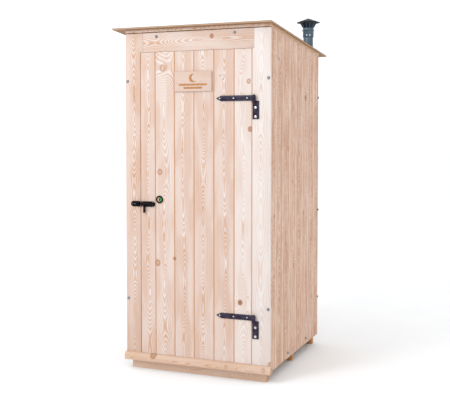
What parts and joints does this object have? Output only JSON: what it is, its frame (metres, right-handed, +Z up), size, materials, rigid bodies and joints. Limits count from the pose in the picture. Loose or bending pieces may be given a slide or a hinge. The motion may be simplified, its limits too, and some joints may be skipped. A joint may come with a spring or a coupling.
{
  "type": "wooden outhouse",
  "caption": "Free-standing board-clad wooden outhouse with a ledged door on strap hinges, a barrel bolt, a round lock indicator, a mono-pitch roof and a vent pipe with a rain cap.",
  "frame": {"origin": "on the ground, in the middle of the roof's rectangular outline", "axes": "+Z up; +Y from the door towards the back wall; +X to the right as seen by a person who faces the door"},
  "size_m": [1.096, 1.276, 2.394],
  "materials": {
    "pine_boards": "planed, untreated softwood with knots",
    "frame_timber": "planed, untreated softwood",
    "runner_timber": "sawn softwood",
    "plate_wood": "planed softwood",
    "roof_plywood": "film-free plywood with a brown edge",
    "roof_felt": "mineral roofing felt",
    "black_iron": "black powder coat",
    "grey_steel": "zinc plated",
    "indicator_green": "glossy",
    "vent_plastic": "satin blue-grey plastic",
    "cap_plastic": "satin dark plastic",
    "boot_rubber": "matt rubber"
  },
  "bodies": {
    "house": {"front_runner": "runner_timber", "middle_runner": "runner_timber", "back_runner": "runner_timber", "floor_deck": "pine_boards", "threshold": "pine_boards", "left_stile": "pine_boards", "right_stile": "pine_boards", "top_rail": "pine_boards", "left_wall": "pine_boards", "right_wall": "pine_boards", "back_wall": "pine_boards", "left_jamb": "frame_timber", "right_jamb": "frame_timber", "lintel": "frame_timber", "back_left_post": "frame_timber", "back_right_post": "frame_timber", "sole_plates": "frame_timber", "wall_rails": "frame_timber", "back_plate": "frame_timber", "rafters": "frame_timber", "roof_deck": "pine_boards", "roof_sheet": "roof_plywood", "roof_felt": "roof_felt", "upper_hook": "black_iron", "lower_hook": "black_iron", "bolt_keeper": "black_iron", "vent_elbow": "vent_plastic", "vent_pipe": "vent_plastic", "vent_sleeve": "vent_plastic", "vent_cowl": "cap_plastic", "cap_posts": "cap_plastic", "vent_hat": "cap_plastic", "vent_boot": "boot_rubber", "pipe_clamps": "grey_steel"},
    "door": {"door_panel": "pine_boards", "door_ledges": "frame_timber", "door_braces": "frame_timber", "nameplate": "plate_wood", "upper_strap": "black_iron", "lower_strap": "black_iron", "bolt_housing": "black_iron", "lock_rosette": "black_iron", "lock_disc": "indicator_green", "thumbturn": "grey_steel"},
    "bolt": {"bolt_rod": "black_iron"}
  },
  "joints": [
    {"name": "door_hinge", "type": "hinge", "parent": "house", "child": "door", "pos_m": [0.427, -0.6141, 1.0885], "axis": [0, 0, 1], "range_deg": [0, 165]},
    {"name": "bolt_slide", "type": "slide", "parent": "door", "child": "bolt", "axis": [1, 0, 0], "range_m": [-0.022, 0]}
  ]
}
